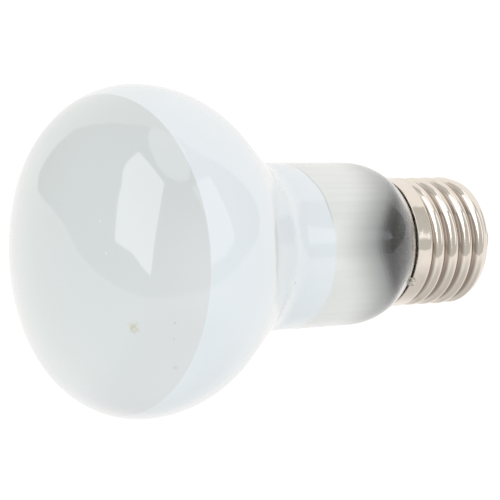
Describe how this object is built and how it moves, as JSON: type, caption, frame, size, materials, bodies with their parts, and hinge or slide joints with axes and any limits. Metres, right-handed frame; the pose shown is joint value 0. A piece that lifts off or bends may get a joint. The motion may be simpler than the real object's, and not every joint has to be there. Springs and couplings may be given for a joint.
{
  "type": "reptile heat bulb",
  "caption": "Sealed reflector heat bulb with a domed translucent face, mirror-coated rear, clear shoulder and nickel-plated E27 screw cap, for warming a basking spot.",
  "frame": {"origin": "end of the screw cap: the point on the axis in the plane of the centre contact's outer face", "axes": "+Z runs along the axis from the cap to the domed face; -Z points into the holder. +X and +Y are square to it, and the soldered joint at the cap's rim is at 232 degrees from +X towards +Y"},
  "size_m": [0.0636, 0.0636, 0.1038],
  "materials": {
    "bulb_glass": "glossy blown glass with a translucent pearl-grey coat on the face, an opaque pale blue-white coat behind it, and a clear smoky shoulder",
    "stem_glass": "clear glossy glass",
    "nickel_lead": "drawn nickel wire, satin",
    "seal_copper": "oxidised copper skin of the sealing wire",
    "copper_lead": "bare drawn copper wire",
    "support_metal": "drawn molybdenum wire, satin",
    "tungsten": "dark grey drawn wire",
    "nickel_plate": "bright nickel plate on pressed brass, warm silver, slightly worn",
    "cap_cement": "dry yellowish capping cement, matt and granular",
    "black_glass": "opaque black moulded glass, glossy",
    "contact_brass": "pressed brass, slightly dull",
    "solder": "dull grey solder"
  },
  "bodies": {
    "root": {"glass_bulb": "bulb_glass", "stem_tube": "stem_glass", "exhaust_tube": "stem_glass", "support_rod": "stem_glass", "inner_lead_side": "nickel_lead", "inner_lead_centre": "nickel_lead", "seal_wire_side": "seal_copper", "seal_wire_centre": "seal_copper", "outer_lead_side": "copper_lead", "outer_lead_centre": "copper_lead", "support_wire_1": "support_metal", "support_wire_2": "support_metal", "support_wire_3": "support_metal", "filament": "tungsten", "screw_shell": "nickel_plate", "basing_cement": "cap_cement", "insulator": "black_glass", "centre_contact": "contact_brass", "contact_solder": "solder", "side_solder": "solder"}
  },
  "joints": []
}
